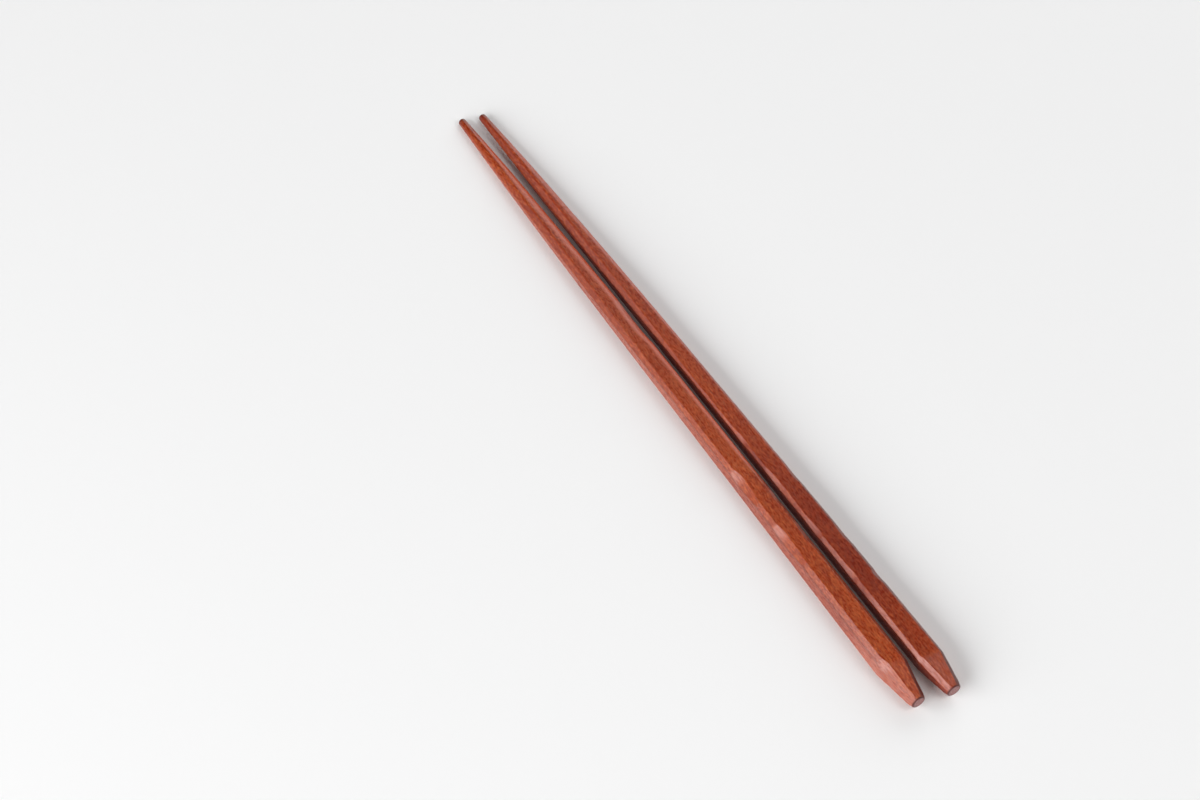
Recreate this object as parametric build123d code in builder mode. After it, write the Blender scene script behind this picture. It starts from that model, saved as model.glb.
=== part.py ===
"""Pair of carved wooden chopsticks, lying side by side with the tips towards -X.

Each stick is one piece of hardwood, pared with a knife from squared stock. Four flats and
four bevels grow from a round tip to a shoulder, and a short faceted taper leads from there
to a small round end. Strokes of the knife left shallow scoops along the bevels.
Lengths are millimetres, angles are degrees, and both sticks rest on Z = 0.
"""

import os
from math import asin, cos, degrees, radians, sqrt

from build123d import *

os.makedirs("parts", exist_ok=True)

# How the pair lies: distances between the two centre lines, and the far stick's lead
tip_spacing = 6.0
end_spacing = 10.35
stagger = 2.1

# Near stick: widths and heights are at the tip, the three quarter points and the shoulder
near_length = 240.0
near_taper = 13.0
near_widths = [2.1, 5.5, 6.4, 7.15, 7.9]
near_heights = [2.1, 5.1, 5.9, 6.4, 6.8]
near_front_bevel = 1.2
near_back_bevel = 0.9
near_under_bevel = 1.4
near_shoulder_skew = -18.0
near_end = 4.3

# Far stick
far_length = 240.0
far_taper = 11.3
far_widths = [2.15, 5.0, 5.75, 6.55, 7.2]
far_heights = [2.1, 4.9, 5.6, 6.2, 6.6]
far_front_bevel = 0.95
far_back_bevel = 0.8
far_under_bevel = 1.3
far_shoulder_skew = -10.0
far_end = 4.3

# Edges between flats and bevels are eased
edge_radius = 0.2

# Each end is rounded by a cone that opens into the stick. Its small end is this much wider
# than the squared stock on each side, it widens by this much per millimetre, and it has a rim
tip_excess = 0.03
tip_widening = 0.042
nose_radius = 0.8
end_excess = 0.05
end_widening = 0.3
end_break = 0.3

# Knife strokes along the top bevels: distance from the tip, length and depth of each scoop
near_front_strokes = [(158.0, 13.0, 0.5), (180.5, 15.0, 0.35)]
near_back_strokes = [(92.5, 18.0, 0.4), (165.5, 6.5, 0.2), (180.5, 11.0, 0.2)]
far_front_strokes = [(142.0, 7.0, 0.25), (162.5, 18.5, 0.35), (177.5, 7.0, 0.3), (196.0, 5.0, 0.15)]
far_back_strokes = [(159.0, 7.0, 0.2), (183.0, 8.0, 0.2), (200.0, 5.5, 0.3)]

# The front facet of each taper starts before the shoulder: the knife goes in steeply to this
# depth, and from there runs straight to the end, where it bites a little deeper
near_facet_lead = 2.8
near_facet_depth = 0.6
far_facet_lead = 1.6
far_facet_depth = 0.45
facet_entry = 2.2
facet_bite = 0.05

# Stock that comes off again: planed from the underside, and sanded from the tip
planing = 0.05
tip_stock = 0.5

# The two long sides of a stick, as signs along Y
front = -1
back = 1


def across_tip(length, side, lead):
    """Plane across a stick at its tip: local Y is up and the normal runs along the stick.

    The pair is shifted sideways so that its two outer sides are equally far from X.
    """
    toe_out = degrees(asin((end_spacing - tip_spacing) / 2 / length))
    shift = (near_widths[-1] - far_widths[-1]) / 4
    tip = (lead - length / 2, side * tip_spacing / 2 + shift, 0)
    return Plane(origin=tip, x_dir=(0, 1, 0), z_dir=(1, 0, 0)).rotated((0, 0, side * toe_out))


def regular_bevels(width):
    """Bevels that turn a square of this width into a regular octagon."""
    return 3 * [width * (1 - 1 / sqrt(2))]


def section(plane, width, height, bevels, base=-planing):
    """Section across a stick: a rectangle from base to height with bevelled corners."""
    half = width / 2
    front_bevel, back_bevel, under_bevel = bevels
    with BuildSketch(plane) as outline:
        with BuildLine():
            Polyline(
                (half - under_bevel, base),
                (half, base + under_bevel),
                (half, height - back_bevel),
                (half - back_bevel, height),
                (front_bevel - half, height),
                (-half, height - front_bevel),
                (-half, base + under_bevel),
                (under_bevel - half, base),
                close=True,
            )
        make_face()
    return outline.sketch


def pare_blank(line, shoulder, skew, widths, heights, bevels):
    """Pare the long part: octagons that grow from the tip to a shoulder cut askew."""
    stations = [-tip_stock] + [shoulder * quarter / 4 for quarter in (1, 2, 3, 4)]
    widths = widths[:-1] + [widths[-1] / cos(radians(skew))]
    planes = [line.offset(station) for station in stations]
    planes[-1] = planes[-1].rotated((0, 0, skew))
    slim_bevels = [regular_bevels(height) for height in heights[:2]]
    sections = [
        section(plane, width, height, section_bevels)
        for plane, width, height, section_bevels in zip(planes, widths, heights, slim_bevels + 3 * [bevels])
    ]
    loft(sections)
    return sections[-1]


def cut_taper(shoulder_section, end_plane, end_width, centre_height):
    """Cut the flat facets that lead from the shoulder to the end."""
    base = centre_height - end_width / 2
    end_section = section(end_plane, end_width, base + end_width, regular_bevels(end_width), base)
    loft([shoulder_section, end_section], ruled=True)


def ease_edges(stick, shoulder):
    """Plane the underside flat, then ease the edges that run from the tip to the shoulder."""
    split(bisect_by=Plane.XY, keep=Keep.TOP)
    fillet(stick.edges().filter_by(lambda edge: edge.length > shoulder / 2), edge_radius)


def reach(stick, start, direction):
    """Distance from a point inside the stick to its surface."""
    hits = stick.part.shell().find_intersection_points(Axis(start, direction))
    return max((point - start).dot(direction) for point, _ in hits)


def bevel_point(stick, line, side, station):
    """Point in the middle of a top bevel, and the direction straight out of it."""
    foot = line.offset(station).origin
    up = line.y_dir
    out = line.x_dir * side
    half_height = reach(stick, foot, up) / 2
    middle = foot + up * half_height
    heart = middle + out * (reach(stick, middle, out) - half_height)
    outward = (up + out).normalized()
    return heart + outward * reach(stick, heart, outward), outward


def scoop(stick, line, side, station, length, depth):
    """Take one shallow scoop out of a top bevel: an arc drawn twice as long as the scoop."""
    surface, outward = bevel_point(stick, line, side, station)
    lift = 3 * depth
    with BuildSketch(Plane(origin=surface, x_dir=line.z_dir, z_dir=line.z_dir.cross(outward))) as stroke:
        with BuildLine():
            ThreePointArc((-length, lift), (0, -depth), (length, lift))
            Line((length, lift), (-length, lift))
        make_face()
    extrude(stroke.sketch, amount=length, both=True, mode=Mode.SUBTRACT)


def cut_facet(stick, line, side, station, depth, end_centre, end_width):
    """Cut one facet from a top bevel to the end: in steeply to the depth, then straight."""
    start, outward = bevel_point(stick, line, side, station)
    finish = end_centre + outward * (end_width / 2 - facet_bite) - start
    length = finish.dot(line.z_dir)
    drop = -finish.dot(outward)
    with BuildSketch(Plane(origin=start, x_dir=line.z_dir, z_dir=line.z_dir.cross(outward))) as cut:
        with BuildLine():
            Polyline((0, 0), (facet_entry, -depth), (length, -drop), (length, drop), (0, drop), close=True)
        make_face()
    extrude(cut.sketch, amount=length, both=True, mode=Mode.SUBTRACT)


def round_off(centre, inward, across, radius, widening, rim, length):
    """Round one end: only what lies inside a cone that opens into the stick stays."""
    with BuildSketch(Plane(origin=centre, x_dir=inward, z_dir=across)) as profile:
        with BuildLine():
            Polyline((0, 0), (0, radius), (length, radius + widening * length), (length, 0), close=True)
        make_face()
        fillet(profile.vertices().sort_by(Axis.X)[:2].sort_by(Axis.Y)[-1], rim)
    revolve(profile.sketch, Axis(centre, inward), mode=Mode.INTERSECT)


def round_tip(line, shoulder, widths, heights):
    """Sand the tip round about the centre line, which rises towards the first quarter point."""
    rise = (heights[1] - heights[0]) / 2
    centre = line.origin + line.y_dir * heights[0] / 2
    inward = line.z_dir * shoulder / 4 + line.y_dir * rise
    round_off(centre, inward, line.x_dir, widths[0] / 2 + tip_excess, tip_widening, nose_radius, 2 * shoulder)


def round_end(line, shoulder, centre, end_width):
    """Turn the end round, and break its edge."""
    radius = end_width / 2 + end_excess
    round_off(centre, -line.z_dir, line.x_dir, radius, end_widening, end_break, 2 * shoulder)


with BuildPart() as near_chopstick:
    near_line = across_tip(near_length, front, -stagger / 2)
    near_shoulder = near_length - near_taper
    near_centre_height = near_heights[-1] / 2
    near_end_plane = near_line.offset(near_length)
    near_end_centre = near_end_plane.origin + near_line.y_dir * near_centre_height
    near_bevels = [near_front_bevel, near_back_bevel, near_under_bevel]
    near_top = pare_blank(
        near_line, near_shoulder, near_shoulder_skew, near_widths, near_heights, near_bevels
    )
    cut_taper(near_top, near_end_plane, near_end, near_centre_height)
    ease_edges(near_chopstick, near_shoulder)
    for stroke in near_front_strokes:
        scoop(near_chopstick, near_line, front, *stroke)
    for stroke in near_back_strokes:
        scoop(near_chopstick, near_line, back, *stroke)
    near_facet_station = near_shoulder - near_facet_lead
    cut_facet(
        near_chopstick, near_line, front, near_facet_station, near_facet_depth, near_end_centre, near_end
    )
    round_tip(near_line, near_shoulder, near_widths, near_heights)
    round_end(near_line, near_shoulder, near_end_centre, near_end)

with BuildPart() as far_chopstick:
    far_line = across_tip(far_length, back, stagger / 2)
    far_shoulder = far_length - far_taper
    far_centre_height = far_heights[-1] / 2
    far_end_plane = far_line.offset(far_length)
    far_end_centre = far_end_plane.origin + far_line.y_dir * far_centre_height
    far_bevels = [far_front_bevel, far_back_bevel, far_under_bevel]
    far_top = pare_blank(far_line, far_shoulder, far_shoulder_skew, far_widths, far_heights, far_bevels)
    cut_taper(far_top, far_end_plane, far_end, far_centre_height)
    ease_edges(far_chopstick, far_shoulder)
    for stroke in far_front_strokes:
        scoop(far_chopstick, far_line, front, *stroke)
    for stroke in far_back_strokes:
        scoop(far_chopstick, far_line, back, *stroke)
    far_facet_station = far_shoulder - far_facet_lead
    cut_facet(far_chopstick, far_line, front, far_facet_station, far_facet_depth, far_end_centre, far_end)
    round_tip(far_line, far_shoulder, far_widths, far_heights)
    round_end(far_line, far_shoulder, far_end_centre, far_end)

near_chopstick.part.label = "near_chopstick"
export_step(near_chopstick.part, "parts/near_chopstick.step")

far_chopstick.part.label = "far_chopstick"
export_step(far_chopstick.part, "parts/far_chopstick.step")
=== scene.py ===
"""A pair of carved hardwood chopsticks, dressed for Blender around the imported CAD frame.

Each stick is one closed surface worked out with numpy. Stations run along the stick, and the
columns follow its eight facets and the eased edges between them. The wood is procedural.
Everything is in metres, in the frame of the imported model.
"""

import math

import bpy
import numpy as np
from mathutils import Matrix


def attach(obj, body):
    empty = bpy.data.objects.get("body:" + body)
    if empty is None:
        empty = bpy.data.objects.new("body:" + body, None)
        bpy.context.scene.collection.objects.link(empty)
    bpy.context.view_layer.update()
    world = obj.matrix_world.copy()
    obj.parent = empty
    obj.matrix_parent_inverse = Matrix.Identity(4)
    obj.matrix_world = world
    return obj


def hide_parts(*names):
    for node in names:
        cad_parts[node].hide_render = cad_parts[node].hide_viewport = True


bl_info = {
    "name": "Carved chopsticks",
    "version": (1, 0, 0),
    "blender": (4, 5, 0),
    "location": "3D View > Sidebar > Chopsticks",
    "description": "Carves a pair of hardwood chopsticks, and sets a plain studio around them",
    "category": "Object",
}

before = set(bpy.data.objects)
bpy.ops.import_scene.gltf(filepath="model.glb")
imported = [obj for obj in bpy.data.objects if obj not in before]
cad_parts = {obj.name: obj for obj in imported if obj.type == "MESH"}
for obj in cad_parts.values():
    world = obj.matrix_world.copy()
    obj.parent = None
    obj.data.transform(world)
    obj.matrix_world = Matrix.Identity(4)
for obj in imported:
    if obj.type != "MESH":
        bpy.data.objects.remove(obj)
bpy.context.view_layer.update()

MM = 0.001

# The eight facets of a section, by the compass angle that each one faces: 0 is the far side
# and 90 is up. Their places in arrays follow this order.
FACET_ANGLES = np.radians(np.arange(8) * 45.0)
BACK_SIDE = 0
BACK_BEVEL = 1
TOP = 2
FRONT_BEVEL = 3
FRONT_SIDE = 4
UNDER_FRONT = 5
UNDERSIDE = 6
UNDER_BACK = 7

# This share of a square's width, cut off its corners, leaves a regular octagon
OCTAGON_CUT = 1.0 - 1.0 / math.sqrt(2.0)
ROOT_TWO = math.sqrt(2.0)

# Columns of the grid around a stick, and the stations along it
EDGE_STEPS = 4
FLAT_COLUMNS = 7
BODY_STATIONS = 880
NOSE_STATIONS = 10
RIM_STATIONS = 6
END_RINGS = (0.86, 0.66, 0.42, 0.2)
NOSE_RINGS = (0.6, 0.3)

# Stock that the plane took off the underside, and the first section's place before the tip
PLANING = 0.05 * MM
TIP_STOCK = 0.5 * MM

# Where changes start and finish, from the tip. The grip's end is in shares of the length.
KNIFE_START = (12 * MM, 50 * MM)
TIP_ROUND = (8 * MM, 34 * MM)
SOFT_EDGES = (25 * MM, 95 * MM)
GRIP_START = (15 * MM, 45 * MM)
RUBBED_START = (2 * MM, 14 * MM)
GRIP_END = (0.60, 0.69)
# Where the wood gets darker towards the tip
DARKER_TIP = (0.5 * MM, 16 * MM)
NOSE_LINE = (0.3 * MM, 2.4 * MM)
# The line of painted shade between the front bevel and the front side
FRONT_SHADE_LINE = (60 * MM, 110 * MM)

# The same, from the thick end or from the shoulder backwards
END_ROUND = (1.6 * MM, 0.2 * MM)
RIM_LINE = (0.5 * MM, 0.2 * MM)
# Where that line of painted shade ends before the shoulder
FRONT_SHADE_LINE_END = 3 * MM
SKEW_START = 18 * MM

# How round the thick end's section gets, and a round section's edge radius as a share of half
# its thickness
END_ROUNDNESS = 0.9
ROUND_RADIUS = 0.97

# The worn bevel at the back: how deep it is worn, how many times the plain edge radius it
# keeps, and how its two edges share what is left
WORN_DEPTH = 0.1 * MM
KEPT_RADII = 2.1
TOP_EDGE_SHARE = 0.7
SIDE_EDGE_SHARE = 0.27

# More rounding of the edge between front bevel and front side on the taper, and of the edge
# between top and front bevel before it
TAPER_FRONT_EDGE = 0.35 * MM
TOP_FRONT_EDGE = 0.2 * MM

# Wavelengths of the wandering knife
KNIFE_WAVES = (9 * MM, 70 * MM)

# Depth at which a stroke looks cut all through, length over which the front facet does, and
# the same for the taper as a share of its length
CUT_EDGE = 0.06 * MM
FACET_EDGE = 0.3 * MM
TAPER_CUT_EDGE = 0.08

# The place where the knife went in: how soon it starts, as a share of the stroke, and where it
# fades, as shares of the way to the deepest point, and for the front facet in entry lengths
ENTRY_START = 0.04
ENTRY_FADE = (0.7, 1.5)
FACET_ENTRY_FADE = 2.5

# Fibre relief in millimetres: depth on planed wood, more depth where it was cut, lengths and
# widths of the ridges, and the height over the table from which the ridges are whole
FIBRE_DEPTH = 0.004
TORN_DEPTH = 0.014
FIBRE_LENGTHS = (2.5, 14.0)
FIBRE_WIDTHS = (0.45, 1.4)
FIBRE_WAVES = 48
FIBRE_START = 0.4

# Strength of the dark lines, which are partly painted shade, the worn edge from which the wood
# looks fully rubbed and painted lighter, and the most painted sheen
FRONT_SHADE_LINE_SHARE = 0.4
NOSE_LINE_SHARE = 0.7
FULLY_RUBBED = 0.5 * MM
MOST_SHEEN = 0.9

# How each stick differs. The strokes of the knife lie along the top bevels: station from the
# tip, length and depth in millimetres, and where the deepest point lies between the two ends.
# The lists after them are slow changes along the stick: a station in millimetres and the value
# there. A lean is how far the front side's upper edge lies further in than its lower one, in
# millimetres. A leg is the share of the front bevel that is left. A tone is the share of dark
# wood. The sheen on the front side is the share of a pale reflection painted there, and a shade
# the share of painted shade there. The dull and shaded list is the share of painted shade on
# the front bevel, where the wood is also rougher, and a gleam the share of a painted highlight
# there. A back line is the strength of the dark line of painted shade along the back bevel. The
# two sheens after them are painted highlights on the top of the taper and where the knife went
# in. The tip cut is how much shorter the tip is, in millimetres. The tint multiplies the wood's
# colour, and the seed starts the random draws.
NEAR_HABITS = {
    "front_strokes": [(158.0, 13.2, 0.5, 0.3), (180.5, 15.0, 0.35, 0.3)],
    "back_strokes": [(92.5, 18.0, 0.4, 0.6), (165.5, 6.5, 0.2, 0.5), (180.5, 11.0, 0.2, 0.5)],
    "lean": [(105.0, 0.0), (135.0, 0.25), (170.0, 0.5), (200.0, 0.65), (226.0, 0.75), (240.0, 0.45)],
    "leg": [(0.0, 1.0)],
    "tone": [(20.0, 0.0), (70.0, 0.45), (95.0, 0.4), (135.0, 0.12), (170.0, 0.0)],
    "painted_sheen": [(40.0, 0.2), (110.0, 0.3), (150.0, 0.22), (205.0, 0.22), (228.0, 0.5)],
    "shade": [(60.0, 0.0), (130.0, 0.35), (170.0, 0.6), (205.0, 0.7), (222.0, 0.1)],
    "dull_and_shaded": [
        (25.0, 0.0), (50.0, 0.5), (80.0, 0.55), (125.0, 0.1), (168.0, 0.0), (172.0, 0.45),
        (173.5, 0.0), (184.0, 0.0), (189.0, 0.35), (193.0, 0.0),
    ],
    "gleam": [(200.0, 0.0), (226.0, 0.2)],
    "back_shade_line": [(150.0, 0.0), (175.0, 0.5), (222.0, 0.5), (228.0, 1.0)],
    "taper_sheen": 0.12,
    "entry_sheen": 0.5,
    "tip_cut": 0.4,
    "tint": (1.0, 1.0, 1.0),
    "seed": 11,
}
FAR_HABITS = {
    "front_strokes": [
        (142.0, 7.0, 0.25, 0.5), (162.5, 18.5, 0.2, 0.35), (177.5, 7.0, 0.2, 0.7), (196.0, 5.0, 0.15, 0.5),
    ],
    "back_strokes": [(159.0, 7.0, 0.2, 0.6), (183.0, 8.0, 0.2, 0.5), (200.0, 5.5, 0.3, 0.3)],
    "lean": [(0.0, 0.0)],
    "leg": [(95.0, 1.0), (115.0, 0.7), (150.0, 0.75), (165.0, 1.0)],
    "tone": [
        (20.0, 0.0), (75.0, 0.25), (125.0, 0.0), (178.0, 0.8), (192.0, 0.8), (213.0, 0.45), (235.0, 0.3),
    ],
    "painted_sheen": [(0.0, 0.0)],
    "shade": [(20.0, 0.3), (80.0, 0.9)],
    "dull_and_shaded": [
        (60.0, 0.4), (110.0, 0.35), (129.0, 0.3), (135.0, 0.0), (142.0, 0.1), (147.0, 0.9),
        (152.0, 0.9), (158.0, 0.0), (172.0, 0.1), (179.0, 0.7), (184.0, 0.1), (194.0, 0.0),
        (202.0, 0.7), (208.0, 0.0),
    ],
    "gleam": [(160.0, 0.05), (200.0, 0.1), (215.0, 0.3), (228.0, 0.5)],
    "back_shade_line": [(90.0, 0.0), (125.0, 0.5), (222.0, 0.5), (230.0, 1.0)],
    "taper_sheen": 0.24,
    "entry_sheen": 0.25,
    "tip_cut": 0.0,
    "tint": (0.95, 0.9, 0.9),
    "seed": 23,
}

# Noise layers of the wood: cells per metre along and across the grain, detail and roughness
GRAIN = {
    "bands": (20.0, 160.0, 3.0, 0.55),
    "flecks": (680.0, 2150.0, 3.0, 0.6),
    "speckle": (950.0, 3600.0, 2.0, 0.6),
    "dashes": (420.0, 5200.0, 1.0, 0.5),
    "fibres": (120.0, 4200.0, 4.0, 0.7),
    "tears": (330.0, 2000.0, 3.0, 0.6),
}

# What a noise becomes: two of its values, and what each of them turns into
REDDER = (0.42, 0.72, 0.0, 0.7)
GLOW = (0.48, 0.64, 0.0, 0.8)
SHADE = (0.48, 0.32, 0.0, 0.7)
GRIT = (0.3, 0.7, -0.25, 0.25)
PORES = (0.66, 0.74, 0.0, 1.0)
DRYNESS = (0.3, 0.7, -0.05, 0.05)
STREAKS = (0.36, 0.64, 0.3, 1.6)

# Weights in the height of the wood, and how dark a pore is
FLECK_HEIGHT = 3.0
SPECKLE_HEIGHT = 3.0
FIBRE_HEIGHT = 0.5
TORN_HEIGHT = 1.5
PORE_SHARE = 0.75

# How strongly the darker tip, the rubbed edge with its painted highlight and the dark lines
# with their painted shade cover, the tint of dark wood and of painted shade, how much rougher
# cut and dull wood is, and the bump, with its distance in metres
TIP_SHARE = 0.45
RUBBED_SHARE = 0.85
EDGE_SHARE = 0.85
DARK_TONE_AND_SHADE = (0.66, 0.50, 0.62, 1.0)
CUT_ROUGHNESS = 0.08
DULL_ROUGHNESS = 0.25
BUMP_STRENGTH = 0.5
BUMP_DISTANCE = 0.000035
OILED_IOR = 1.45

# How far each stick's grain is moved sideways, in metres times its seed
GRAIN_STEP = 0.013

# Soft lights: direction from the origin, distance, width and height, in metres
LIGHTS = {
    "side_light": ((0.07, -0.90, 0.42), 1.5, 1.88, 0.96),
    "back_light": ((-0.47, 0.80, 0.38), 1.4, 1.6, 1.0),
    "top_light": ((0.58, 0.38, 0.72), 1.4, 0.8, 0.8),
    "fill_light": ((0.48, -0.31, 0.82), 1.4, 0.42, 0.42),
    "tip_light": ((-0.50, 0.20, 0.42), 0.68, 0.3, 0.3),
}

# The camera's place, and the way that its right, its top and its back point
CAMERA_PLACE = (0.5621, -0.397375, 0.9774)
CAMERA_AXES = ((0.5396, 0.8419, 0.0053), (-0.6905, 0.4390, 0.5749), (0.4817, -0.3139, 0.8182))
SENSOR_WIDTH = 36.0


def length_value(name, description, default):
    """A length that the sidebar shows, in metres."""
    return bpy.props.FloatProperty(
        name=name,
        description=description,
        default=default,
        min=0.0,
        precision=5,
        subtype="DISTANCE",
        unit="LENGTH",
    )


def five_lengths(name, default):
    """Five lengths along a stick: at the tip, at its three quarter points and at its shoulder."""
    return bpy.props.FloatVectorProperty(
        name=name,
        description="At the tip, the three quarter points and the shoulder",
        default=default,
        size=5,
        min=0.0,
        precision=5,
        unit="LENGTH",
    )


def angle_value(name, description, default):
    """An angle that the sidebar shows, given here in degrees."""
    return bpy.props.FloatProperty(
        name=name,
        description=description,
        default=math.radians(default),
        subtype="ANGLE",
        unit="ROTATION",
    )


def plain_value(name, description, default, top):
    """A plain number from 0 up to a top value."""
    return bpy.props.FloatProperty(
        name=name, description=description, default=default, min=0.0, max=top
    )


def colour_value(name, description, default):
    """A linear colour with its alpha at one."""
    return bpy.props.FloatVectorProperty(
        name=name,
        description=description,
        default=(*default, 1.0),
        size=4,
        min=0.0,
        max=1.0,
        subtype="COLOR",
    )


class PairLayout(bpy.types.PropertyGroup):
    """How the two sticks lie beside each other, and the edges that they share."""

    tip_spacing: length_value("Tip spacing", "Between the two centre lines at the tips", 0.0060)
    end_spacing: length_value("End spacing", "Between the two centre lines at the ends", 0.01035)
    stagger: length_value("Stagger", "How far the far stick leads the near one", 0.0021)
    edge_radius: length_value("Edge radius", "Easing of the edges between facets", 0.0002)
    taper_edge: length_value("Taper edge radius", "Easing of the edges on the taper", 0.00012)
    soft_edge: length_value("Soft edge radius", "More rounding of all edges behind the round tip", 0.0007)
    nose_radius: length_value("Nose radius", "Rounding of the tip", 0.0008)
    end_break: length_value("End break", "Rounding of the rim at the thick end", 0.0003)
    facet_entry: length_value("Facet entry", "Length of the steep start of the front facets", 0.0022)
    facet_bite: length_value("Facet bite", "How much deeper the front facets go at the end", 0.00005)
    carving: length_value("Carving depth", "How much the knife wandered along each facet", 0.00004)


class NearStick(bpy.types.PropertyGroup):
    """Sizes of the stick in front."""

    length: length_value("Length", "From the round tip to the end", 0.240)
    taper: length_value("Taper", "From the shoulder to the end", 0.013)
    widths: five_lengths("Widths", (0.0021, 0.0055, 0.0064, 0.00715, 0.0079))
    heights: five_lengths("Heights", (0.0021, 0.0051, 0.0059, 0.0064, 0.0068))
    front_bevel: length_value("Front bevel", "Leg of the top bevel in front", 0.0012)
    back_bevel: length_value("Back bevel", "Leg of the top bevel at the back", 0.0009)
    under_bevel: length_value("Under bevel", "Leg of the two bevels underneath", 0.0014)
    shoulder_skew: angle_value("Shoulder skew", "Turn of the shoulder about the vertical", -18.0)
    end_width: length_value("End width", "Across the flats at the thick end", 0.0043)
    facet_lead: length_value("Facet lead", "From the front facet's start to the shoulder", 0.0028)
    facet_depth: length_value("Facet depth", "How deep the front facet starts", 0.0006)
    worn_edge: length_value("Worn edge", "More rounding of the top edge at the back", 0.0024)


class FarStick(bpy.types.PropertyGroup):
    """Sizes of the stick behind."""

    length: length_value("Length", "From the round tip to the end", 0.240)
    taper: length_value("Taper", "From the shoulder to the end", 0.0113)
    widths: five_lengths("Widths", (0.00215, 0.0050, 0.00575, 0.00655, 0.0072))
    heights: five_lengths("Heights", (0.0021, 0.0049, 0.0056, 0.0062, 0.0066))
    front_bevel: length_value("Front bevel", "Leg of the top bevel in front", 0.00095)
    back_bevel: length_value("Back bevel", "Leg of the top bevel at the back", 0.0008)
    under_bevel: length_value("Under bevel", "Leg of the two bevels underneath", 0.0013)
    shoulder_skew: angle_value("Shoulder skew", "Turn of the shoulder about the vertical", -10.0)
    end_width: length_value("End width", "Across the flats at the thick end", 0.0043)
    facet_lead: length_value("Facet lead", "From the front facet's start to the shoulder", 0.0016)
    facet_depth: length_value("Facet depth", "How deep the front facet starts", 0.00045)
    worn_edge: length_value("Worn edge", "More rounding of the top edge at the back", 0.0003)


class WoodColours(bpy.types.PropertyGroup):
    """Colours and finish of the reddish wood."""

    pale: colour_value("Pale wood", "Orange flecks between the fibres", (0.46, 0.105, 0.028))
    mid: colour_value("Wood", "Main colour of the planed facets", (0.345, 0.047, 0.008))
    dark: colour_value("Dark wood", "Red brown bands in the figure", (0.215, 0.020, 0.006))
    pore: colour_value("Pores", "Inside of the open pores", (0.085, 0.014, 0.007))
    # Worn wood along the back edge, painted lighter as a highlight too
    rubbed_and_lit: colour_value("Rubbed wood", "Where hands wore the edge at the back", (0.62, 0.10, 0.035))
    # Colour of the dark lines, which along the bevels are painted shade
    edge: colour_value("Edges", "Dark lines along some edges and around the ends", (0.08, 0.012, 0.009))
    end_grain: colour_value("End grain", "Cut across the fibres", (0.33, 0.125, 0.115))
    # Colour of the painted sheen: a pale reflection painted on the front side, the front bevel and the
    # taper
    painted_sheen: colour_value("Bloom", "Pale haze on the front side", (0.50, 0.20, 0.16))
    roughness: plain_value("Roughness", "Roughness of the oiled surface", 0.29, 1.0)


class StudioLight(bpy.types.PropertyGroup):
    """The floor, the lamps and the camera."""

    floor_size: length_value("Floor size", "Side of the square floor", 16.0)
    floor: colour_value("Floor", "Colour of the plain floor", (0.95, 0.95, 0.95))
    side_light: plain_value("Side light", "Radiance of the soft light that the bevels mirror", 5.2, 20.0)
    back_light: plain_value("Back light", "Radiance of the low soft light behind", 2.2, 20.0)
    top_light: plain_value("Top light", "Radiance of the wide soft light beside the camera", 3.3, 20.0)
    fill_light: plain_value("Fill light", "Radiance of the light above the camera", 2.4, 20.0)
    tip_light: plain_value("Tip light", "Radiance of the small light beyond the tips", 0.8, 20.0)
    room: plain_value("Room light", "Strength of the even light of the room", 0.04, 4.0)
    focal_length: bpy.props.FloatProperty(
        name="Focal length",
        description="Lens of the camera in millimetres, on a sensor 36 wide",
        default=125.94,
        min=1.0,
        subtype="DISTANCE_CAMERA",
        unit="CAMERA",
    )


def smooth_step(values, start, finish):
    """0 before start, 1 after finish, and t * t * (3 - 2 t) between, with t the share of the way."""
    share = np.clip((values - start) / (finish - start), 0.0, 1.0)
    return share * share * (3.0 - 2.0 * share)


def slow_change(stations, knots):
    """A value that goes from knot to knot in smooth steps, and is level before and after them."""
    line = np.full_like(stations, knots[0][1])
    for (start, before), (finish, after) in zip(knots, knots[1:]):
        line += (after - before) * smooth_step(stations, start * MM, finish * MM)
    return line


def curve_through(sizes, shoulder, stations):
    """The fourth degree polynomial through a size at the tip and at each quarter up to the shoulder."""
    knots = np.array([-TIP_STOCK, *(shoulder * quarter / 4 for quarter in (1, 2, 3, 4))])
    return np.polyval(np.polyfit(knots / shoulder, np.array(sizes), 4), stations / shoulder)


def wander(stations, random, shortest, longest, waves=9):
    """A slow random line between -1 and 1: a sum of sines of random phase, divided by its peak.

    Their wavelengths lie evenly between the shortest and the longest in ratio.
    """
    wavelengths = np.geomspace(shortest, longest, waves)
    phases = random.uniform(0.0, 2.0 * np.pi, waves)
    weights = (wavelengths / longest) ** 0.5
    line = (weights * np.sin(2.0 * np.pi * stations[:, None] / wavelengths + phases)).sum(axis=1)
    return line / np.abs(line).max()


def stroke_depth(stations, strokes):
    """Depth of the knife strokes, and where the knife went in, at each station.

    The depth is a parabola on each side of the deepest point. The knife went in between the
    stroke's start and a little past the deepest point.
    """
    depth = np.zeros_like(stations)
    entry = np.zeros_like(stations)
    for middle, length, deepest, lean in strokes:
        share = (stations / MM - middle) / length + 0.5
        run = np.where(share < lean, lean, 1.0 - lean)
        depth = np.maximum(depth, deepest * MM * (1.0 - ((share - lean) / run) ** 2))
        fade = 1.0 - smooth_step(share, *(part * lean for part in ENTRY_FADE))
        entry = np.maximum(entry, smooth_step(share, 0.0, ENTRY_START) * fade)
    return depth, entry


def taper_share(size, stations):
    """How far along the taper each station lies: 0 up to the shoulder, 1 at the end."""
    return np.clip((stations - (size.length - size.taper)) / size.taper, 0.0, 1.0)


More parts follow.
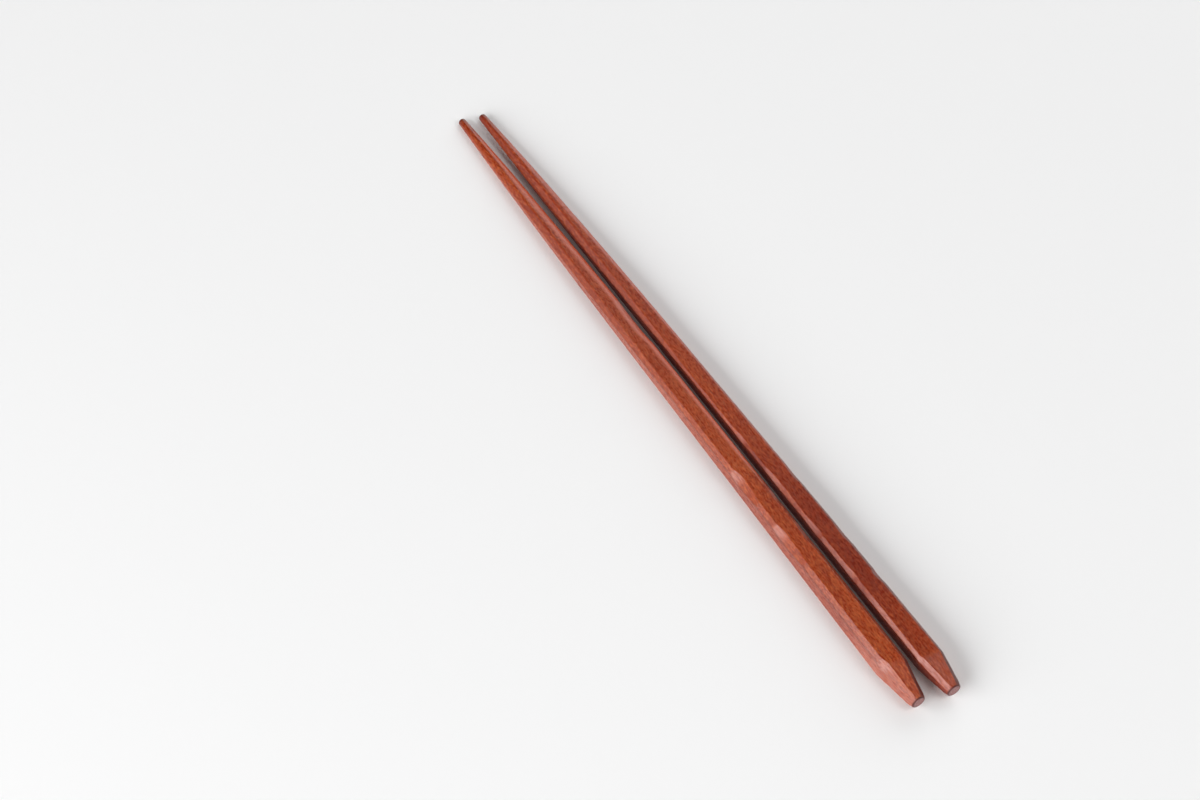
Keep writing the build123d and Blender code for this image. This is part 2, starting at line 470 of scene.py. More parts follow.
def squared_stick(size, stations, habits):
    """Distance and angle of each facet at every station, before the knife strokes.

    Up to the shoulder the sizes follow their curves. From there to the end they run straight
    to a regular octagon. A facet's distance is its normal times a corner on it, and the front
    side turns by the angle whose tangent is its lean over its height.
    """
    shoulder = size.length - size.taper
    share = taper_share(size, stations)
    end_half = size.end_width / 2
    centre = size.heights[4] / 2
    end_bevel = OCTAGON_CUT * size.end_width

    def along(sizes, at_end):
        return np.where(
            stations < shoulder,
            curve_through(sizes, shoulder, stations),
            sizes[-1] + (at_end - sizes[-1]) * share,
        )

    slim = [OCTAGON_CUT * size.heights[0], OCTAGON_CUT * size.heights[1]]
    half = along([width / 2 for width in size.widths], end_half)
    top = along(list(size.heights), centre + end_half)
    base = -PLANING + (centre - end_half + PLANING) * share
    front = along(slim + 3 * [size.front_bevel], end_bevel) * slow_change(stations, habits["leg"])
    back = along(slim + 3 * [size.back_bevel], end_bevel)
    under = along(slim + 3 * [size.under_bevel], end_bevel)

    lean = slow_change(stations, habits["lean"]) * MM
    turn = np.arctan2(lean, top - front - base - under)
    angles = np.repeat(FACET_ANGLES[None, :], len(stations), axis=0)
    angles[:, FRONT_SIDE] -= turn

    distances = np.empty((len(stations), 8))
    distances[:, BACK_SIDE] = half
    distances[:, BACK_BEVEL] = (half + top - back) / ROOT_TWO
    distances[:, TOP] = top
    distances[:, FRONT_BEVEL] = (half - lean + top - front) / ROOT_TWO
    distances[:, FRONT_SIDE] = half * np.cos(turn) + (base + under) * np.sin(turn)
    distances[:, UNDER_FRONT] = (half - base - under) / ROOT_TWO
    distances[:, UNDERSIDE] = -np.maximum(base, 0.0)
    distances[:, UNDER_BACK] = (half - base - under) / ROOT_TWO
    return distances, angles


def cut_bevels(size, layout, stations, habits, distances):
    """Takes the knife strokes and the front facet of the taper off the distances.

    The front facet goes in steeply to its depth, and from there straight to the end. It gives
    two shares for each facet at every station: of cut wood, and of where the knife went in.
    """
    cut = np.zeros_like(distances)
    entries = np.zeros_like(distances)
    for facet, strokes in ((FRONT_BEVEL, "front_strokes"), (BACK_BEVEL, "back_strokes")):
        depth, entries[:, facet] = stroke_depth(stations, habits[strokes])
        distances[:, facet] -= depth
        cut[:, facet] = smooth_step(depth, 0.0, CUT_EDGE)

    skewed = math.tan(size.shoulder_skew) * (size.widths[4] - size.front_bevel) / 2
    start = size.length - size.taper - size.facet_lead - skewed
    entered = start + layout.facet_entry
    at_start = np.interp(start, stations, distances[:, FRONT_BEVEL])
    at_end = size.heights[4] / 2 / ROOT_TWO + size.end_width / 2 - layout.facet_bite
    facet = np.interp(
        stations, [start, entered, size.length], [at_start, at_start - size.facet_depth, at_end]
    )
    lower = np.minimum(distances[:, FRONT_BEVEL], facet)
    distances[:, FRONT_BEVEL] = np.where(stations > start, lower, distances[:, FRONT_BEVEL])

    in_facet = smooth_step(stations, start, start + FACET_EDGE)
    in_taper = smooth_step(taper_share(size, stations), 0.0, TAPER_CUT_EDGE)
    fade = 1.0 - smooth_step(stations, entered, start + FACET_ENTRY_FADE * layout.facet_entry)
    cut[:, FRONT_BEVEL] = np.maximum(cut[:, FRONT_BEVEL], in_facet)
    entries[:, FRONT_BEVEL] = np.maximum(entries[:, FRONT_BEVEL], in_facet * fade)
    return np.maximum(cut, in_taper[:, None]), entries


def let_knife_wander(layout, stations, random, distances):
    """Takes up to the carving depth off every facet but the underside, as a slow random line."""
    body = smooth_step(stations, *KNIFE_START)
    for facet in (BACK_SIDE, BACK_BEVEL, TOP, FRONT_BEVEL, FRONT_SIDE, UNDER_FRONT, UNDER_BACK):
        knife = wander(stations, random, *KNIFE_WAVES)
        distances[:, facet] -= layout.carving * body * (0.5 + 0.5 * knife)


def grip_share(stations, length, start):
    """1 where the hand holds the stick: it rises over a start, and falls at the grip's end."""
    end = 1.0 - smooth_step(stations, *(part * length for part in GRIP_END))
    return smooth_step(stations, *start) * end


def edge_radii(size, layout, stations, distances, thin, taper):
    """Radius of the eased edge that follows each facet, at every station.

    The upper edges at the back are worn as far as the bevel between them has room. Its width
    is root 2 times (side + top) - 2 times its distance, and edges of radii r and s take up
    (r + s) times the tangent of 22.5 degrees of it. The wear of that bevel comes off its
    distance here. Towards the tip and the end every radius grows to about half the thickness,
    until the section is round.
    """
    length = size.length
    eased = layout.edge_radius + (layout.taper_edge - layout.edge_radius) * taper
    radius = np.repeat(eased[:, None], 8, axis=1)
    radius += (layout.soft_edge * (1.0 - smooth_step(stations, *SOFT_EDGES)))[:, None]

    grip = grip_share(stations, length, GRIP_START)
    distances[:, BACK_BEVEL] -= WORN_DEPTH * grip
    bevel_width = ROOT_TWO * (distances[:, BACK_SIDE] + distances[:, TOP]) - 2.0 * distances[:, BACK_BEVEL]
    room = bevel_width / math.tan(math.radians(22.5)) - KEPT_RADII * radius[:, BACK_BEVEL]
    radius[:, BACK_BEVEL] += np.minimum(size.worn_edge, TOP_EDGE_SHARE * room) * grip
    radius[:, BACK_SIDE] += np.minimum(size.worn_edge, SIDE_EDGE_SHARE * room) * grip
    radius[:, FRONT_BEVEL] += TAPER_FRONT_EDGE * taper
    radius[:, TOP] += TOP_FRONT_EDGE * (1.0 - taper)

    round_end = smooth_step(stations, *(length - inside for inside in END_ROUND))
    roundness = np.maximum(1.0 - smooth_step(stations, *TIP_ROUND), END_ROUNDNESS * round_end)
    return radius + (ROUND_RADIUS * thin[:, None] - radius) * roundness[:, None]


def section_points(distances, angles, radius):
    """Points around every section: eased edges as arcs, and evenly spaced points on the flats.

    A corner is where two neighbouring facets meet: (a (m - c n) + b (n - c m)) / (1 - c c), for
    facets m and n at distances a and b and c the cosine between them. The arc's centre is the
    corner less radius (m + n) / (1 + c), and the arc turns from one normal to the other.
    """
    normals = np.stack([np.cos(angles), np.sin(angles)], axis=2)
    following = np.roll(normals, -1, axis=1)
    cosine = (normals * following).sum(axis=2, keepdims=True)
    here = distances[:, :, None]
    there = np.roll(distances, -1, axis=1)[:, :, None]
    corners = here * (normals - cosine * following) + there * (following - cosine * normals)
    corners /= 1.0 - cosine**2
    centres = corners - radius[:, :, None] * (normals + following) / (1.0 + cosine)

    between = np.mod(np.roll(angles, -1, axis=1) - angles, 2.0 * np.pi)
    turns = angles[:, :, None] + between[:, :, None] * np.linspace(0.0, 1.0, EDGE_STEPS + 1)
    outward = np.stack([np.cos(turns), np.sin(turns)], axis=-1)
    arcs = centres[:, :, None, :] + radius[:, :, None, None] * outward

    shares = np.arange(1, FLAT_COLUMNS + 1)[:, None] / (FLAT_COLUMNS + 1)
    start = arcs[:, :, -1:, :]
    finish = np.roll(arcs, -1, axis=1)[:, :, :1, :]
    flats = start + (finish - start) * shares
    return np.concatenate([arcs, flats], axis=2).reshape(len(distances), -1, 2)


def around_columns(values):
    """Spreads one value per facet over the columns: arcs go halfway between their two facets."""
    shares = np.linspace(0.0, 1.0, EDGE_STEPS + 1)
    following = np.roll(values, -1, axis=1)
    arcs = values[:, :, None] * (1.0 - shares) + following[:, :, None] * shares
    flats = np.repeat(following[:, :, None], FLAT_COLUMNS, axis=2)
    return np.concatenate([arcs, flats], axis=2).reshape(len(values), -1)


def facet_columns(facet, before=(0.0, 1.0), after=(1.0, 0.0)):
    """One share per column: 1 on a facet, and from share to share over the edges beside it."""
    shares = np.zeros((8, EDGE_STEPS + 1 + FLAT_COLUMNS))
    shares[facet - 1, : EDGE_STEPS + 1] = np.linspace(*before, EDGE_STEPS + 1)
    shares[facet - 1, EDGE_STEPS + 1 :] = 1.0
    shares[facet, : EDGE_STEPS + 1] = np.linspace(*after, EDGE_STEPS + 1)
    return shares.ravel()


def fibre_relief(stations, around, random):
    """Low ridges along the grain: a sum of waves that are long along the stick and short across it."""
    long_way = random.uniform(*FIBRE_LENGTHS, FIBRE_WAVES) * MM
    short_way = random.uniform(*FIBRE_WIDTHS, FIBRE_WAVES) * MM * random.choice([-1.0, 1.0], FIBRE_WAVES)
    phases = random.uniform(0.0, 2.0 * np.pi, FIBRE_WAVES)
    relief = np.zeros_like(around)
    for along, across, phase in zip(long_way, short_way, phases):
        relief += np.sin(2.0 * np.pi * (stations[:, None] / along + around / across) + phase)
    return relief / math.sqrt(FIBRE_WAVES)


def lower_fibres(section, centre, stations, facet_cut, random):
    """Spokes from a section's centre to its points, shortened by the depth of the fibres there.

    The depth is that of planed wood and the share of cut wood times that of torn wood, times
    one plus the relief. It dies out near the table, so the underside stays flat.
    """
    steps = np.linalg.norm(np.roll(section, -1, axis=1) - section, axis=2)
    around = np.cumsum(steps, axis=1) - steps
    relief = np.clip(fibre_relief(stations, around, random), -1.0, 1.0)
    spokes = section - centre
    lowered = (FIBRE_DEPTH + TORN_DEPTH * facet_cut) * MM * (1.0 + relief)
    above_table = smooth_step(section[:, :, 1], 0.0, FIBRE_START * MM)
    return spokes * (1.0 - lowered * above_table / np.linalg.norm(spokes, axis=2))[:, :, None]


def rounded_off(inside, rounding, thin):
    """What a section shrinks to on a rounded end: 1 - (f - sqrt(f f - g g)) / r.

    Here f is the rounding, g how far the station lies inside it, and r half the thickness.
    """
    inside = np.clip(inside, 0.0, rounding)
    return 1.0 - (rounding - np.sqrt(np.maximum(rounding**2 - inside**2, 0.0))) / thin


def closed_faces(rows, columns):
    """Quads of a grid that is closed around, and fans of triangles to a pole at each end.

    The first ring's pole is the point after the grid, and the last ring's pole follows it.
    """
    row, column = np.meshgrid(np.arange(rows - 1), np.arange(columns), indexing="ij")
    following = (column + 1) % columns
    quads = np.stack(
        [
            row * columns + column,
            row * columns + following,
            (row + 1) * columns + following,
            (row + 1) * columns + column,
        ],
        axis=-1,
    )
    ring = np.arange(columns)
    following = (ring + 1) % columns
    last = (rows - 1) * columns
    first_fan = np.stack([np.full(columns, rows * columns), following, ring], axis=1)
    last_fan = np.stack([np.full(columns, rows * columns + 1), last + ring, last + following], axis=1)
    return quads.reshape(-1, 4), np.concatenate([first_fan, last_fan])


def stick_masks(size, habits, stations, along, taper, facet_cut, entries):
    """Shares of each finish at every point, from the station of every point of the grid.

    A mask is a share along the stick times a share around it. Some of them paint shade and
    sheen into the colour. Where two of them meet, the larger one counts, and painted sheens
    add up.
    """
    length = size.length
    shoulder = length - size.taper
    tip = habits["tip_cut"] * MM
    body = slice(len(NOSE_RINGS), len(NOSE_RINGS) + len(stations))

    def over_body(shares):
        spread = np.zeros_like(along)
        spread[body] = shares
        return spread

    def habit(name, columns):
        return slow_change(stations, habits[name])[:, None] * columns

    back = facet_columns(BACK_BEVEL, before=(1.0, 1.0))
    front = facet_columns(FRONT_SIDE)
    bevel = facet_columns(FRONT_BEVEL)
    top = facet_columns(TOP, before=(1.0, 1.0), after=(0.0, 0.0))
    front_edge = np.zeros_like(front)
    front_edge.reshape(8, -1)[FRONT_BEVEL, : EDGE_STEPS + 2] = 1.0

    end_grain = np.zeros_like(along)
    end_grain[body.stop - RIM_STATIONS // 2 :] = 1.0
    darker_near_tip = 1.0 - smooth_step(along, *DARKER_TIP)

    nose_line = 1.0 - smooth_step(along, *(tip + inside for inside in NOSE_LINE))
    rim_line = smooth_step(along, *(length - inside for inside in RIM_LINE))
    rim_line[body.stop :] = 0.0
    front_shade_line = smooth_step(along, *FRONT_SHADE_LINE) - smooth_step(along, shoulder - FRONT_SHADE_LINE_END, shoulder)
    # Dark lines: painted shade between the front bevel and the front side and along the back bevel, and
    # dark lines at the nose and around the end
    dark_lines_and_shade = np.maximum(FRONT_SHADE_LINE_SHARE * front_edge * front_shade_line, rim_line)
    dark_lines_and_shade = np.maximum(dark_lines_and_shade, NOSE_LINE_SHARE * nose_line)
    dark_lines_and_shade = np.maximum(dark_lines_and_shade, over_body(habit("back_shade_line", back)) * (1.0 - end_grain))

    # Rubbed wood along the back bevel, also painted lighter as a highlight
    rubbed_and_lit = grip_share(stations, length, RUBBED_START)[:, None] * np.sqrt(back)
    # Painted shade on the front bevel, where the wood is also rougher
    dull_and_shaded = habit("dull_and_shaded", bevel)
    # Dark wood along the stick, and painted shade on the front side
    tone = np.maximum(habit("tone", 1.0), habit("shade", front))
    # Painted sheen: a pale reflection painted on the front side, and highlights painted on the front bevel,
    # on the taper's top and where the knife went in
    sheen = habit("painted_sheen", front) + habit("gleam", bevel)
    sheen = sheen + habits["taper_sheen"] * taper[:, None] * top
    sheen = sheen + habits["entry_sheen"] * around_columns(entries)

    masks = {
        "end_grain": end_grain,
        "darker_tip": darker_near_tip,
        "knife_cut": over_body(facet_cut),
        "dark_lines_and_shade": dark_lines_and_shade,
        "rubbed_edge_and_highlight": over_body(rubbed_and_lit * min(size.worn_edge / FULLY_RUBBED, 1.0)),
        "dark_tone_and_shade": over_body(np.maximum(tone * (1.0 - bevel), dull_and_shaded)),
        "painted_sheen_share": over_body(np.clip(sheen, 0.0, MOST_SHEEN)),
        "dullness": over_body(dull_and_shaded),
    }
    poles = {"end_grain": (0.0, 1.0), "darker_tip": (1.0, 0.0)}
    return {
        name: np.append(shares.ravel(), poles.get(name, (0.0, 0.0)))
        for name, shares in masks.items()
    }


def stick_surface(size, layout, side, habits):
    """Points, faces and masks of one stick.

    A point lies at its station along the stick and at its place in that section. At the nose
    and at the rim the sections shrink about their centre, and the last rings shrink to a
    point. Towards the shoulder the sections turn askew: a point moves along the stick by its
    place across it times the tangent of the skew. At last the whole stick toes out.
    """
    random = np.random.default_rng(habits["seed"])
    nose = layout.nose_radius
    rim = layout.end_break
    length = size.length
    shoulder = length - size.taper
    tip = habits["tip_cut"] * MM
    nose_turn = np.linspace(0.0, np.pi / 2, NOSE_STATIONS, endpoint=False)
    rim_turn = np.linspace(0.0, np.pi / 2, RIM_STATIONS + 1)[1:]
    stations = np.concatenate(
        [
            tip + nose * (1.0 - np.cos(nose_turn)),
            np.linspace(tip + nose, length - rim, BODY_STATIONS),
            length - rim + rim * np.sin(rim_turn),
        ]
    )

    distances, angles = squared_stick(size, stations, habits)
    cut, entries = cut_bevels(size, layout, stations, habits, distances)
    let_knife_wander(layout, stations, random, distances)
    half_height = (distances[:, TOP] + distances[:, UNDERSIDE]) / 2
    thin = np.minimum(np.minimum(distances[:, BACK_SIDE], distances[:, FRONT_SIDE]), half_height)
    taper = smooth_step(stations, shoulder - MM, shoulder + MM)
    radius = edge_radii(size, layout, stations, distances, thin, taper)
    section = section_points(distances, angles, radius)

    facet_cut = around_columns(cut)
    centre_height = (distances[:, TOP] - distances[:, UNDERSIDE]) / 2
    centre = np.stack([np.zeros_like(centre_height), centre_height], axis=1)[:, None, :]
    spokes = lower_fibres(section, centre, stations, facet_cut, random)
    at_nose = rounded_off(tip + nose - stations, nose, thin)
    at_rim = rounded_off(stations - (length - rim), rim, thin)
    section = centre + spokes * (at_nose * at_rim)[:, None, None]

    to_end = np.clip((length - stations) / size.taper, 0.0, 1.0)
    ramp = smooth_step(stations, shoulder - SKEW_START, shoulder) * to_end
    skewed = stations[:, None] - math.tan(size.shoulder_skew) * section[:, :, 0] * ramp[:, None]
    local = np.concatenate([skewed[:, :, None], section], axis=2)

    def closing_rings(row, shares):
        middle = np.array([stations[row], 0.0, centre_height[row]])
        rings = [middle + (local[row] - middle) * share for share in shares]
        return np.array(rings), middle

    nose_rings, nose_pole = closing_rings(0, NOSE_RINGS[::-1])
    end_rings, end_pole = closing_rings(-1, END_RINGS)
    rows = np.concatenate([nose_rings, local, end_rings])
    rows[:, :, 2] = np.maximum(rows[:, :, 2], 0.0)
    points = np.concatenate([rows.reshape(-1, 3), [nose_pole, end_pole]])

    toe_out = side * math.asin((layout.end_spacing - layout.tip_spacing) / 2 / length)
    along = np.array([math.cos(toe_out), math.sin(toe_out), 0.0])
    across = np.array([-math.sin(toe_out), math.cos(toe_out), 0.0])
    up = np.array([0.0, 0.0, 1.0])
    placed = points[:, :1] * along + points[:, 1:2] * across + points[:, 2:] * up

    quads, fans = closed_faces(*rows.shape[:2])
    masks = stick_masks(size, habits, stations, rows[:, :, 0], taper, facet_cut, entries)
    return placed, quads, fans, masks


def new_piece(name, points, quads, triangles, masks, material):
    """A mesh object at the origin, with its masks as attributes of its points."""
    mesh = bpy.data.meshes.new(name)
    mesh.from_pydata(points.tolist(), [], quads.tolist() + triangles.tolist())
    mesh.validate()
    mesh.shade_smooth()
    for label, values in masks.items():
        mask = mesh.attributes.new(label, "FLOAT", "POINT")
        mask.data.foreach_set("value", values.astype(np.float32))
    mesh.materials.append(material)
    piece = bpy.data.objects.new(name, mesh)
    bpy.context.scene.collection.objects.link(piece)
    return piece


def add_node(tree, kind, place, **settings):
    """A node at a place in the tree, with its properties set."""
    node = tree.nodes.new(kind)
    node.location = (place[0] * 220, place[1] * 200)
    for setting, value in settings.items():
        setattr(node, setting, value)
    return node


def fill(tree, socket, source):
    """Fills one input: with a link from a socket, or with a value."""
    if isinstance(source, bpy.types.NodeSocket):
        tree.links.new(source, socket)
    else:
        socket.default_value = source


def feed(tree, node, **sources):
    """Fills a node's inputs by name, with underscores for spaces."""
    for name, source in sources.items():
        fill(tree, node.inputs[name.replace("_", " ")], source)
    return node


def grain_layer(tree, place, vector, along, across, detail, roughness):
    """A noise texture's value, with its cells per metre along X and across it."""
    cells = add_node(tree, "ShaderNodeMapping", place)
    feed(tree, cells, Vector=vector, Scale=(along, across, across))
    noise = add_node(tree, "ShaderNodeTexNoise", (place[0] + 1, place[1]))
    feed(tree, noise, Vector=cells.outputs["Vector"], Scale=1.0, Detail=detail, Roughness=roughness)
    return noise.outputs["Fac"]


def span(tree, place, value, low, high, to_low, to_high):
    """Maps a value from one range to another and clamps it."""
    node = add_node(tree, "ShaderNodeMapRange", place)
    feed(tree, node, Value=value, From_Min=low, From_Max=high, To_Min=to_low, To_Max=to_high)
    return node.outputs["Result"]


def maths(tree, place, operation, *sources):
    """One sum on two or three values."""
    node = add_node(tree, "ShaderNodeMath", place, operation=operation)
    for socket, source in zip(node.inputs, sources):
        fill(tree, socket, source)
    return node.outputs["Value"]


def blend_colours(tree, place, share, first, second, mode="MIX"):
    """Two colours mixed by a share."""
    node = add_node(tree, "ShaderNodeMix", place, data_type="RGBA", blend_type=mode)
    for name, source in (("Factor_Float", share), ("A_Color", first), ("B_Color", second)):
        fill(tree, next(socket for socket in node.inputs if socket.identifier == name), source)
    return next(socket for socket in node.outputs if socket.identifier == "Result_Color")


def wood_figure_group():
    """Node group for the figure of the wood, from coordinates in metres with the grain along X.

    Slow bands run with the grain, soft flecks lie over them, and open pores are short dark
    dashes. It gives the colour, a height for the bump, a value that moves the roughness, and
    streaks that break up the painted sheen.
    """
    group = bpy.data.node_groups.new("wood_figure", "ShaderNodeTree")
    sockets = group.interface
    sockets.new_socket("Coordinates", in_out="INPUT", socket_type="NodeSocketVector")
    for name in ("Pale", "Mid", "Dark", "Pore"):
        sockets.new_socket(name, in_out="INPUT", socket_type="NodeSocketColor")
    sockets.new_socket("Fresh Cut", in_out="INPUT", socket_type="NodeSocketFloat")
    sockets.new_socket("Color", in_out="OUTPUT", socket_type="NodeSocketColor")
    for name in ("Height", "Dryness", "Streaks"):
        sockets.new_socket(name, in_out="OUTPUT", socket_type="NodeSocketFloat")

    given = add_node(group, "NodeGroupInput", (0, 0)).outputs
    result = add_node(group, "NodeGroupOutput", (9, 0))
    grain = {
        name: grain_layer(group, (1, 3 - row), given["Coordinates"], *GRAIN[name])
        for row, name in enumerate(GRAIN)
    }

    redder = span(group, (3, 3), grain["bands"], *REDDER)
    base = blend_colours(group, (4, 3), redder, given["Mid"], given["Dark"])
    glow = span(group, (3, 2), grain["flecks"], *GLOW)
    warmed = blend_colours(group, (5, 3), glow, base, given["Pale"])
    shade = span(group, (3, 1.5), grain["flecks"], *SHADE)
    shaded = blend_colours(group, (6, 3), shade, warmed, given["Dark"])
    grit = span(group, (3, 1), grain["speckle"], *GRIT)
    gritty = add_node(group, "ShaderNodeVectorMath", (7, 3), operation="SCALE")
    fill(group, gritty.inputs[0], shaded)
    fill(group, gritty.inputs["Scale"], maths(group, (4, 1), "ADD", grit, 1.0))
    pores = span(group, (3, 0), grain["dashes"], *PORES)
    pore_share = maths(group, (4, 0), "MULTIPLY", pores, PORE_SHARE)
    coloured = blend_colours(group, (8, 3), pore_share, gritty.outputs[0], given["Pore"])

    torn = maths(group, (4, -1), "MULTIPLY_ADD", given["Fresh Cut"], TORN_HEIGHT, FIBRE_HEIGHT)
    ridges = maths(group, (5, -1), "MULTIPLY", grain["fibres"], torn)
    coarse = maths(group, (4, -2), "MULTIPLY", grain["flecks"], FLECK_HEIGHT)
    dapple = maths(group, (5, -2), "MULTIPLY_ADD", grain["speckle"], SPECKLE_HEIGHT, coarse)
    raised = maths(group, (6, -2), "ADD", dapple, ridges)
    height = maths(group, (7, 0), "SUBTRACT", raised, pores)
    dryness = span(group, (4, 2), grain["flecks"], *DRYNESS)
    streaks = span(group, (3, -2), grain["tears"], *STREAKS)
    feed(group, result, Color=coloured, Height=height, Dryness=dryness, Streaks=streaks)
    return group


def wood_material(name, colours, figure, offset, tint):
    """Oiled reddish wood: the figure on the sides, toned and edged by the masks of the stick."""
    # The masks paint shade, sheen and highlights into the wood's colour
    material = bpy.data.materials.new(name)
    material.use_nodes = True
    tree = material.node_tree
    tree.nodes.clear()
    output = add_node(tree, "ShaderNodeOutputMaterial", (8, 0))
    surface = add_node(tree, "ShaderNodeBsdfPrincipled", (7, 0))
    feed(tree, output, Surface=surface.outputs["BSDF"])

    def mask(label, row):
        return add_node(tree, "ShaderNodeAttribute", (1, row), attribute_name=label).outputs["Fac"]

    def layer(row, share, below, colour, strength=1.0):
        if strength < 1.0:
            share = maths(tree, (2, row), "MULTIPLY", share, strength)
        return blend_colours(tree, (3, row), share, below, colour)

    coordinates = add_node(tree, "ShaderNodeTexCoord", (0, 0))
    placed = add_node(tree, "ShaderNodeMapping", (1, 0))
    feed(tree, placed, Vector=coordinates.outputs["Object"], Location=offset)
    cut = mask("knife_cut", 1)
    wood = add_node(tree, "ShaderNodeGroup", (2, 0), node_tree=figure)
    feed(
        tree,
        wood,
        Coordinates=placed.outputs["Vector"],
        Pale=colours.pale,
        Mid=colours.mid,
        Dark=colours.dark,
        Pore=colours.pore,
        Fresh_Cut=cut,
    )
    # Dark wood and painted shade darken the colour
    toned_and_shaded = blend_colours(tree, (3, 2), mask("dark_tone_and_shade", 2), wood.outputs["Color"], DARK_TONE_AND_SHADE, "MULTIPLY")
    # Rubbed wood with its painted highlight
    rubbed_and_lit = layer(3, mask("rubbed_edge_and_highlight", 3), toned_and_shaded, colours.rubbed_and_lit, RUBBED_SHARE)
    # Painted sheen: pale reflection and highlights mixed into the colour, broken up by the streaks
    sheen = maths(tree, (2, 4), "MULTIPLY", mask("painted_sheen_share", 4), wood.outputs["Streaks"])
    with_sheen = layer(4, sheen, rubbed_and_lit, colours.painted_sheen)
    # Darker towards the tip
    tipped = layer(5, mask("darker_tip", 5), with_sheen, colours.dark, TIP_SHARE)
    ended = layer(6, mask("end_grain", 6), tipped, colours.end_grain)
    # Dark lines, with painted shade along the bevels
    edged = layer(7, mask("dark_lines_and_shade", 7), ended, colours.edge, EDGE_SHARE)
    tinted = blend_colours(tree, (6, 1), 1.0, edged, (*tint, 1.0), "MULTIPLY")

    drier = maths(tree, (3, 0), "ADD", wood.outputs["Dryness"], colours.roughness)
    cut_rough = maths(tree, (3, -0.5), "MULTIPLY", cut, CUT_ROUGHNESS)
    dull_rough = maths(tree, (3, -1), "MULTIPLY", mask("dullness", 8), DULL_ROUGHNESS)
    rougher = maths(tree, (4, -0.5), "ADD", cut_rough, dull_rough)
    roughness = maths(tree, (4, 0), "ADD", drier, rougher)

    bump = add_node(tree, "ShaderNodeBump", (5, -1))
    feed(tree, bump, Height=wood.outputs["Height"], Strength=BUMP_STRENGTH, Distance=BUMP_DISTANCE)
    feed(tree, surface, Base_Color=tinted, Roughness=roughness, Normal=bump.outputs["Normal"])
    surface.inputs["IOR"].default_value = OILED_IOR
    return material


class CHOPSTICKS_OT_carve_pair(bpy.types.Operator):
    """Carve the near and the far stick, and give them their wood"""

    bl_idname = "chopsticks.carve_pair"
    bl_label = "Carve the pair"

    def execute(self, context):
        scene = context.scene
        layout = scene.chopstick_layout
        near = scene.chopstick_near
        far = scene.chopstick_far
        colours = scene.chopstick_wood
        figure = wood_figure_group()
        sticks = (
            ("near_chopstick", near, -1, NEAR_HABITS),
            ("far_chopstick", far, 1, FAR_HABITS),
        )
        shift = (near.widths[4] - far.widths[4]) / 4
        for node, size, side, habits in sticks:
            points, quads, fans, masks = stick_surface(size, layout, side, habits)
            lead = side * layout.stagger / 2 - size.length / 2
            points += np.array([lead, side * layout.tip_spacing / 2 + shift, 0.0])
            offset = (0.0, GRAIN_STEP * habits["seed"], 0.0)
            material = wood_material("reddish_wood_" + node, colours, figure, offset, habits["tint"])
            piece = new_piece("carved_" + node, points, quads, fans, masks, material)
            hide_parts(node)
            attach(piece, "root")
        return {"FINISHED"}


def aimed_light(name, direction, distance, width, height, radiance):
    """A rectangular soft light at a distance in a direction, facing the origin.

    An area light's power is its radiance times its area times pi.
    """
    data = bpy.data.lights.new(name, "AREA")
    data.shape = "RECTANGLE"
    data.size = width
    data.size_y = height
    data.energy = radiance * math.pi * width * height
    light = bpy.data.objects.new(name, data)
    toward = np.array(direction) / np.linalg.norm(direction)
    level = np.cross([0.0, 0.0, 1.0], toward)
    level /= np.linalg.norm(level)
    upward = np.cross(toward, level)
    turn = Matrix(np.stack([level, upward, toward], axis=1).tolist()).to_4x4()
    light.matrix_world = Matrix.Translation((toward * distance).tolist()) @ turn
    bpy.context.scene.collection.objects.link(light)


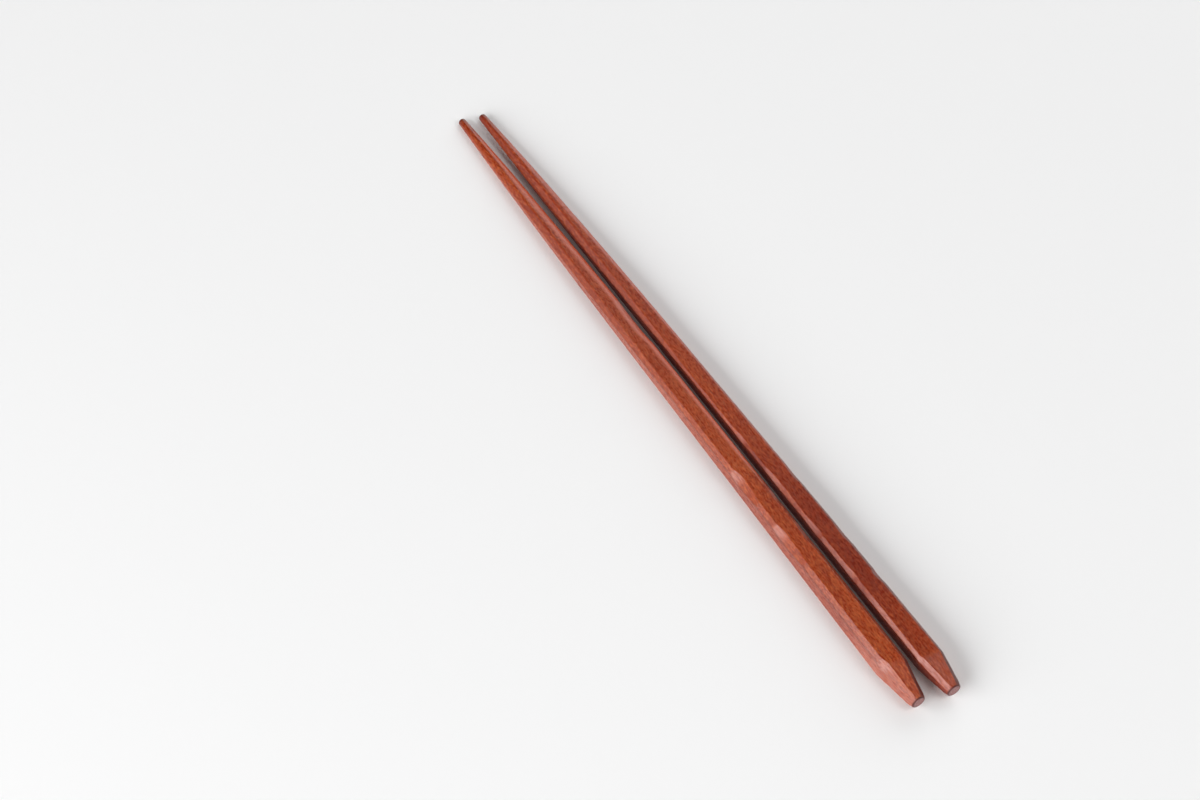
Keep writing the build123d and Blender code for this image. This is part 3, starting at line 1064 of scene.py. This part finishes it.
class CHOPSTICKS_OT_set_stage(bpy.types.Operator):
    """Lay the floor, hang the soft lights and place the camera"""

    bl_idname = "chopsticks.set_stage"
    bl_label = "Set the stage"

    def execute(self, context):
        scene = context.scene
        studio = scene.chopstick_studio
        scene.view_settings.view_transform = "Standard"

        material = bpy.data.materials.new("plain_floor")
        material.use_nodes = True
        tree = material.node_tree
        tree.nodes.clear()
        output = add_node(tree, "ShaderNodeOutputMaterial", (1, 0))
        matte = add_node(tree, "ShaderNodeBsdfDiffuse", (0, 0))
        feed(tree, matte, Color=studio.floor)
        tree.links.new(matte.outputs["BSDF"], output.inputs["Surface"])

        reach = studio.floor_size / 2
        corners = reach * np.array([(-1.0, -1.0, 0.0), (1.0, -1.0, 0.0), (1.0, 1.0, 0.0), (-1.0, 1.0, 0.0)])
        no_triangles = np.empty((0, 3), int)
        floor = new_piece("floor", corners, np.array([[0, 1, 2, 3]]), no_triangles, {}, material)

        world = bpy.data.worlds.new("room")
        world.use_nodes = True
        background = world.node_tree.nodes["Background"]
        background.inputs["Color"].default_value = (1.0, 1.0, 1.0, 1.0)
        background.inputs["Strength"].default_value = studio.room
        scene.world = world

        for name, (direction, distance, width, height) in LIGHTS.items():
            aimed_light(name, direction, distance, width, height, getattr(studio, name))

        data = bpy.data.cameras.new("camera")
        data.sensor_width = SENSOR_WIDTH
        data.lens = studio.focal_length
        camera = bpy.data.objects.new("camera", data)
        turn = Matrix(CAMERA_AXES).transposed().to_4x4()
        camera.matrix_world = Matrix.Translation(CAMERA_PLACE) @ turn
        scene.collection.objects.link(camera)
        scene.camera = camera
        return {"FINISHED"}


class CHOPSTICKS_PT_sidebar(bpy.types.Panel):
    """Sizes, colours and steps of the pair"""

    bl_label = "Carved chopsticks"
    bl_idname = "CHOPSTICKS_PT_sidebar"
    bl_space_type = "VIEW_3D"
    bl_region_type = "UI"
    bl_category = "Chopsticks"

    def draw(self, context):
        """Lists every group of values, then the two steps."""
        column = self.layout.column()
        for group in PROPERTY_GROUPS:
            values = getattr(context.scene, group)
            box = column.box()
            box.label(text=group.replace("chopstick_", "").capitalize())
            for name in values.bl_rna.properties.keys():
                if name not in ("rna_type", "name"):
                    box.prop(values, name)
        column.operator(CHOPSTICKS_OT_carve_pair.bl_idname)
        column.operator(CHOPSTICKS_OT_set_stage.bl_idname)


PROPERTY_GROUPS = {
    "chopstick_layout": PairLayout,
    "chopstick_near": NearStick,
    "chopstick_far": FarStick,
    "chopstick_wood": WoodColours,
    "chopstick_studio": StudioLight,
}
CLASSES = (
    *PROPERTY_GROUPS.values(),
    CHOPSTICKS_OT_carve_pair,
    CHOPSTICKS_OT_set_stage,
    CHOPSTICKS_PT_sidebar,
)


def register():
    """Registers the classes and hangs the value groups on the scene."""
    for item in CLASSES:
        bpy.utils.register_class(item)
    for name, group in PROPERTY_GROUPS.items():
        setattr(bpy.types.Scene, name, bpy.props.PointerProperty(type=group))


def unregister():
    """Takes the value groups and the classes away again."""
    for name in PROPERTY_GROUPS:
        delattr(bpy.types.Scene, name)
    for item in reversed(CLASSES):
        bpy.utils.unregister_class(item)


def main():
    register()
    bpy.ops.chopsticks.carve_pair()
    bpy.ops.chopsticks.set_stage()


if __name__ == "__main__":
    main()
